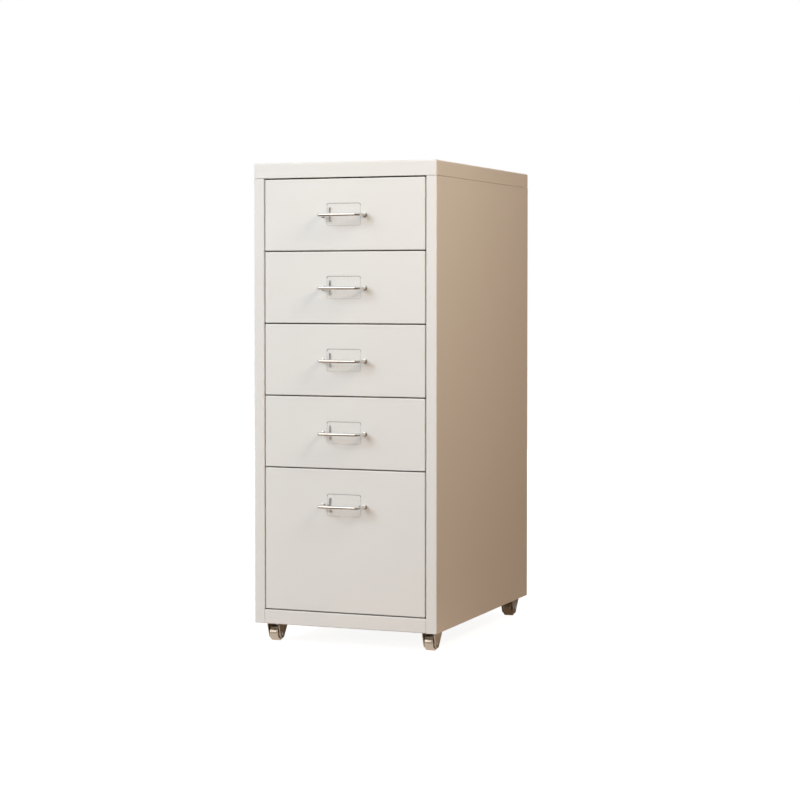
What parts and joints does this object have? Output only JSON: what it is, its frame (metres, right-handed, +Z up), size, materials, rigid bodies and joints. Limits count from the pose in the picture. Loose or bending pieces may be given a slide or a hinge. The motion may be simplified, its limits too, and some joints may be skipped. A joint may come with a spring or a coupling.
{
  "type": "mobile drawer cabinet",
  "caption": "Narrow steel drawer cabinet on swivel casters: shallow drawers over a deep one, each with a wire pull and a clear label holder.",
  "frame": {"origin": "on the floor, in the middle of the whole object's box", "axes": "+Z up, -Y out of the drawer fronts, +X to the right as seen from the front"},
  "size_m": [0.28, 0.4362, 0.69],
  "materials": {
    "paint": "off-white powder coat, satin",
    "runner_steel": "zinc-plated, satin",
    "chrome": "polished",
    "clear_plastic": "clear, polished",
    "glide_plastic": "moulded, matt",
    "zinc": "bright zinc",
    "plated_steel": "nickel-plated, satin",
    "wheel_metal": "turned, satin"
  },
  "bodies": {
    "cabinet": {"right_side_panel": "paint", "left_side_panel": "paint", "top_cap": "paint", "back_panel": "paint", "base_panel": "paint", "base_fascia": "paint", "panel_screws": "zinc", "caster_stems": "zinc", "drawer_1_right_runner": "runner_steel", "drawer_1_left_runner": "runner_steel", "drawer_2_right_runner": "runner_steel", "drawer_2_left_runner": "runner_steel", "drawer_3_right_runner": "runner_steel", "drawer_3_left_runner": "runner_steel", "drawer_4_right_runner": "runner_steel", "drawer_4_left_runner": "runner_steel", "drawer_5_right_runner": "runner_steel", "drawer_5_left_runner": "runner_steel"},
    "drawer_1": {"drawer_1_front": "paint", "drawer_1_tray": "paint", "drawer_1_glides": "glide_plastic", "drawer_1_handle": "chrome", "drawer_1_handle_screws": "zinc", "drawer_1_label_holder": "clear_plastic"},
    "drawer_2": {"drawer_2_front": "paint", "drawer_2_tray": "paint", "drawer_2_glides": "glide_plastic", "drawer_2_handle": "chrome", "drawer_2_handle_screws": "zinc", "drawer_2_label_holder": "clear_plastic"},
    "drawer_3": {"drawer_3_front": "paint", "drawer_3_tray": "paint", "drawer_3_glides": "glide_plastic", "drawer_3_handle": "chrome", "drawer_3_handle_screws": "zinc", "drawer_3_label_holder": "clear_plastic"},
    "drawer_4": {"drawer_4_front": "paint", "drawer_4_tray": "paint", "drawer_4_glides": "glide_plastic", "drawer_4_handle": "chrome", "drawer_4_handle_screws": "zinc", "drawer_4_label_holder": "clear_plastic"},
    "drawer_5": {"drawer_5_front": "paint", "drawer_5_tray": "paint", "drawer_5_glides": "glide_plastic", "drawer_5_handle": "chrome", "drawer_5_handle_screws": "zinc", "drawer_5_label_holder": "clear_plastic"},
    "front_left_swivel": {"front_left_fork": "plated_steel", "front_left_axle": "zinc"},
    "front_left_roller": {"front_left_wheel": "wheel_metal"},
    "front_right_swivel": {"front_right_fork": "plated_steel", "front_right_axle": "zinc"},
    "front_right_roller": {"front_right_wheel": "wheel_metal"},
    "rear_left_swivel": {"rear_left_fork": "plated_steel", "rear_left_axle": "zinc"},
    "rear_left_roller": {"rear_left_wheel": "wheel_metal"},
    "rear_right_swivel": {"rear_right_fork": "plated_steel", "rear_right_axle": "zinc"},
    "rear_right_roller": {"rear_right_wheel": "wheel_metal"}
  },
  "joints": [
    {"name": "drawer_1_slide", "type": "slide", "parent": "cabinet", "child": "drawer_1", "axis": [0, -1, 0], "range_m": [0, 0.27]},
    {"name": "drawer_2_slide", "type": "slide", "parent": "cabinet", "child": "drawer_2", "axis": [0, -1, 0], "range_m": [0, 0.27]},
    {"name": "drawer_3_slide", "type": "slide", "parent": "cabinet", "child": "drawer_3", "axis": [0, -1, 0], "range_m": [0, 0.27]},
    {"name": "drawer_4_slide", "type": "slide", "parent": "cabinet", "child": "drawer_4", "axis": [0, -1, 0], "range_m": [0, 0.27]},
    {"name": "drawer_5_slide", "type": "slide", "parent": "cabinet", "child": "drawer_5", "axis": [0, -1, 0], "range_m": [0, 0.27]},
    {"name": "front_left_swivel_turn", "type": "hinge", "parent": "cabinet", "child": "front_left_swivel", "pos_m": [-0.12, -0.1576, 0.027], "axis": [0, 0, 1], "continuous": true},
    {"name": "front_left_wheel_spin", "type": "hinge", "parent": "front_left_swivel", "child": "front_left_roller", "pos_m": [-0.12, -0.1606, 0.0115], "axis": [1, 0, 0], "continuous": true},
    {"name": "front_right_swivel_turn", "type": "hinge", "parent": "cabinet", "child": "front_right_swivel", "pos_m": [0.12, -0.1576, 0.027], "axis": [0, 0, 1], "continuous": true},
    {"name": "front_right_wheel_spin", "type": "hinge", "parent": "front_right_swivel", "child": "front_right_roller", "pos_m": [0.12, -0.1606, 0.0115], "axis": [1, 0, 0], "continuous": true},
    {"name": "rear_left_swivel_turn", "type": "hinge", "parent": "cabinet", "child": "rear_left_swivel", "pos_m": [-0.12, 0.1889, 0.027], "axis": [0, 0, 1], "continuous": true},
    {"name": "rear_left_wheel_spin", "type": "hinge", "parent": "rear_left_swivel", "child": "rear_left_roller", "pos_m": [-0.12, 0.1859, 0.0115], "axis": [1, 0, 0], "continuous": true},
    {"name": "rear_right_swivel_turn", "type": "hinge", "parent": "cabinet", "child": "rear_right_swivel", "pos_m": [0.12, 0.1889, 0.027], "axis": [0, 0, 1], "continuous": true},
    {"name": "rear_right_wheel_spin", "type": "hinge", "parent": "rear_right_swivel", "child": "rear_right_roller", "pos_m": [0.12, 0.1859, 0.0115], "axis": [1, 0, 0], "continuous": true}
  ]
}
